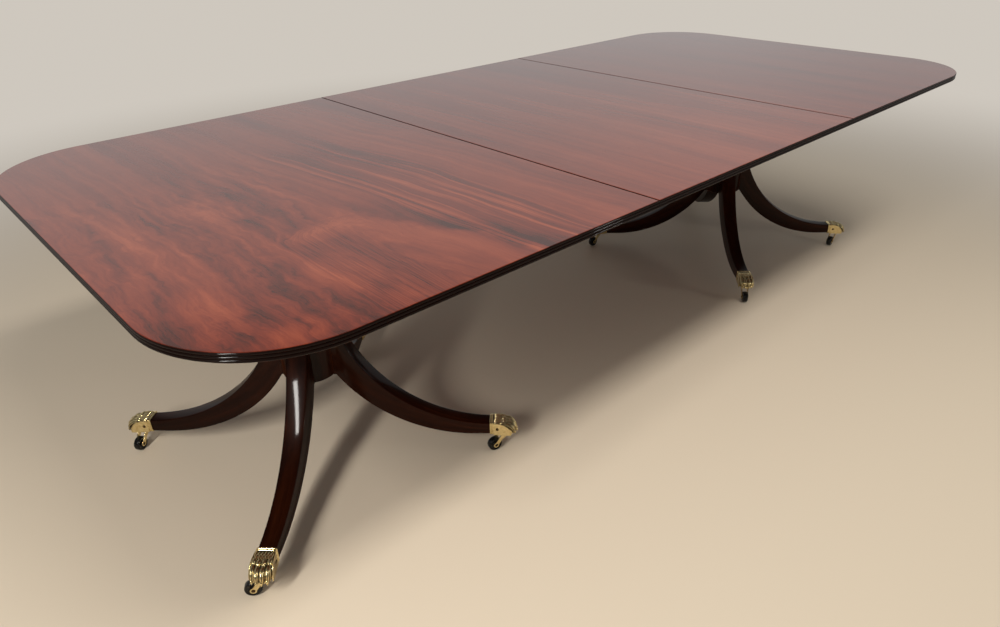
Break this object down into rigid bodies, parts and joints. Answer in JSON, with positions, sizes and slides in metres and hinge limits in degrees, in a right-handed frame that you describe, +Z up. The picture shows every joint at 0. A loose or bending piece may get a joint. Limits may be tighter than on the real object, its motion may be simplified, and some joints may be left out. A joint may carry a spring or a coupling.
{
  "type": "double pedestal dining table",
  "caption": "Dining table with a loose centre leaf, reeded edge and rounded corners, on turned pedestals with splayed legs in brass paw caps on castors.",
  "frame": {"origin": "on the floor, below the middle of the table", "axes": "+X along the table's length, +Y across it, +Z up"},
  "size_m": [2.83, 1.33, 0.74],
  "materials": {
    "polished_mahogany": "french polish, high gloss",
    "dark_mahogany": "french polish, gloss",
    "bearer_wood": "planed, oiled",
    "brass": "cast and polished, tarnished in the recesses",
    "steel": "plain steel",
    "wheel_black": "black, satin"
  },
  "bodies": {
    "left_end": {"left_top": "polished_mahogany", "left_outer_bearer": "bearer_wood", "left_inner_bearer": "bearer_wood", "left_block": "bearer_wood", "left_column": "dark_mahogany", "left_bearer_screws": "steel", "left_cap_screws": "brass", "left_front_outer_leg": "dark_mahogany", "left_front_outer_paw_cap": "brass", "left_front_inner_leg": "dark_mahogany", "left_front_inner_paw_cap": "brass", "left_back_outer_leg": "dark_mahogany", "left_back_outer_paw_cap": "brass", "left_back_inner_leg": "dark_mahogany", "left_back_inner_paw_cap": "brass"},
    "right_end": {"right_top": "polished_mahogany", "right_outer_bearer": "bearer_wood", "right_inner_bearer": "bearer_wood", "right_block": "bearer_wood", "right_column": "dark_mahogany", "right_bearer_screws": "steel", "right_cap_screws": "brass", "right_front_outer_leg": "dark_mahogany", "right_front_outer_paw_cap": "brass", "right_front_inner_leg": "dark_mahogany", "right_front_inner_paw_cap": "brass", "right_back_outer_leg": "dark_mahogany", "right_back_outer_paw_cap": "brass", "right_back_inner_leg": "dark_mahogany", "right_back_inner_paw_cap": "brass"},
    "left_front_loper": {"left_front_loper": "bearer_wood"},
    "left_front_outer_castor": {"left_front_outer_castor_horn": "brass", "left_front_outer_castor_axle": "steel"},
    "left_front_outer_wheel": {"left_front_outer_castor_wheel": "wheel_black"},
    "left_front_inner_castor": {"left_front_inner_castor_horn": "brass", "left_front_inner_castor_axle": "steel"},
    "left_front_inner_wheel": {"left_front_inner_castor_wheel": "wheel_black"},
    "left_back_loper": {"left_back_loper": "bearer_wood"},
    "left_back_outer_castor": {"left_back_outer_castor_horn": "brass", "left_back_outer_castor_axle": "steel"},
    "left_back_outer_wheel": {"left_back_outer_castor_wheel": "wheel_black"},
    "left_back_inner_castor": {"left_back_inner_castor_horn": "brass", "left_back_inner_castor_axle": "steel"},
    "left_back_inner_wheel": {"left_back_inner_castor_wheel": "wheel_black"},
    "right_front_loper": {"right_front_loper": "bearer_wood"},
    "right_front_outer_castor": {"right_front_outer_castor_horn": "brass", "right_front_outer_castor_axle": "steel"},
    "right_front_outer_wheel": {"right_front_outer_castor_wheel": "wheel_black"},
    "right_front_inner_castor": {"right_front_inner_castor_horn": "brass", "right_front_inner_castor_axle": "steel"},
    "right_front_inner_wheel": {"right_front_inner_castor_wheel": "wheel_black"},
    "right_back_loper": {"right_back_loper": "bearer_wood"},
    "right_back_outer_castor": {"right_back_outer_castor_horn": "brass", "right_back_outer_castor_axle": "steel"},
    "right_back_outer_wheel": {"right_back_outer_castor_wheel": "wheel_black"},
    "right_back_inner_castor": {"right_back_inner_castor_horn": "brass", "right_back_inner_castor_axle": "steel"},
    "right_back_inner_wheel": {"right_back_inner_castor_wheel": "wheel_black"},
    "leaf": {"leaf": "polished_mahogany", "leaf_dowels": "bearer_wood"}
  },
  "joints": [
    {"name": "pull_apart", "type": "slide", "parent": "left_end", "child": "right_end", "axis": [1, 0, 0], "range_m": [0, 0.24]},
    {"name": "leaf_follow", "type": "slide", "parent": "left_end", "child": "leaf", "axis": [1, 0, 0], "range_m": [0, 0.12]},
    {"name": "left_front_loper_slide", "type": "slide", "parent": "left_end", "child": "left_front_loper", "axis": [-1, 0, 0], "range_m": [0, 0.24]},
    {"name": "left_back_loper_slide", "type": "slide", "parent": "left_end", "child": "left_back_loper", "axis": [-1, 0, 0], "range_m": [0, 0.24]},
    {"name": "right_front_loper_slide", "type": "slide", "parent": "right_end", "child": "right_front_loper", "axis": [1, 0, 0], "range_m": [0, 0.24]},
    {"name": "right_back_loper_slide", "type": "slide", "parent": "right_end", "child": "right_back_loper", "axis": [1, 0, 0], "range_m": [0, 0.24]},
    {"name": "left_front_outer_swivel", "type": "hinge", "parent": "left_end", "child": "left_front_outer_castor", "pos_m": [-1.28948, -0.34648, 0.054], "axis": [0, 0, 1], "continuous": true},
    {"name": "left_front_outer_roll", "type": "hinge", "parent": "left_front_outer_castor", "child": "left_front_outer_wheel", "pos_m": [-1.31373, -0.33248, 0.019], "axis": [-0.5, -0.866, 0], "continuous": true},
    {"name": "left_front_inner_swivel", "type": "hinge", "parent": "left_end", "child": "left_front_inner_castor", "pos_m": [-0.59652, -0.34648, 0.054], "axis": [0, 0, 1], "continuous": true},
    {"name": "left_front_inner_roll", "type": "hinge", "parent": "left_front_inner_castor", "child": "left_front_inner_wheel", "pos_m": [-0.62356, -0.33924, 0.019], "axis": [-0.2588, -0.9659, 0], "continuous": true},
    {"name": "left_back_outer_swivel", "type": "hinge", "parent": "left_end", "child": "left_back_outer_castor", "pos_m": [-1.28948, 0.34648, 0.054], "axis": [0, 0, 1], "continuous": true},
    {"name": "left_back_outer_roll", "type": "hinge", "parent": "left_back_outer_castor", "child": "left_back_outer_wheel", "pos_m": [-1.31242, 0.33042, 0.019], "axis": [0.5736, -0.8192, 0], "continuous": true},
    {"name": "left_back_inner_swivel", "type": "hinge", "parent": "left_end", "child": "left_back_inner_castor", "pos_m": [-0.59652, 0.34648, 0.054], "axis": [0, 0, 1], "continuous": true},
    {"name": "left_back_inner_roll", "type": "hinge", "parent": "left_back_inner_castor", "child": "left_back_inner_wheel", "pos_m": [-0.62441, 0.34404, 0.019], "axis": [0.0872, -0.9962, 0], "continuous": true},
    {"name": "right_front_outer_swivel", "type": "hinge", "parent": "right_end", "child": "right_front_outer_castor", "pos_m": [1.28948, -0.34648, 0.054], "axis": [0, 0, 1], "continuous": true},
    {"name": "right_front_outer_roll", "type": "hinge", "parent": "right_front_outer_castor", "child": "right_front_outer_wheel", "pos_m": [1.26159, -0.34892, 0.019], "axis": [0.0872, -0.9962, 0], "continuous": true},
    {"name": "right_front_inner_swivel", "type": "hinge", "parent": "right_end", "child": "right_front_inner_castor", "pos_m": [0.59652, -0.34648, 0.054], "axis": [0, 0, 1], "continuous": true},
    {"name": "right_front_inner_roll", "type": "hinge", "parent": "right_front_inner_castor", "child": "right_front_inner_wheel", "pos_m": [0.57571, -0.36522, 0.019], "axis": [0.6691, -0.7431, 0], "continuous": true},
    {"name": "right_back_outer_swivel", "type": "hinge", "parent": "right_end", "child": "right_back_outer_castor", "pos_m": [1.28948, 0.34648, 0.054], "axis": [0, 0, 1], "continuous": true},
    {"name": "right_back_outer_roll", "type": "hinge", "parent": "right_back_outer_castor", "child": "right_back_outer_wheel", "pos_m": [1.26191, 0.35134, 0.019], "axis": [-0.1736, -0.9848, 0], "continuous": true},
    {"name": "right_back_inner_swivel", "type": "hinge", "parent": "right_end", "child": "right_back_inner_castor", "pos_m": [0.59652, 0.34648, 0.054], "axis": [0, 0, 1], "continuous": true},
    {"name": "right_back_inner_roll", "type": "hinge", "parent": "right_back_inner_castor", "child": "right_back_inner_wheel", "pos_m": [0.56854, 0.34746, 0.019], "axis": [-0.0349, -0.9994, 0], "continuous": true}
  ],
  "couplings": [
    {"joint": "leaf_follow", "follows": "pull_apart", "ratio": 0.5}
  ]
}
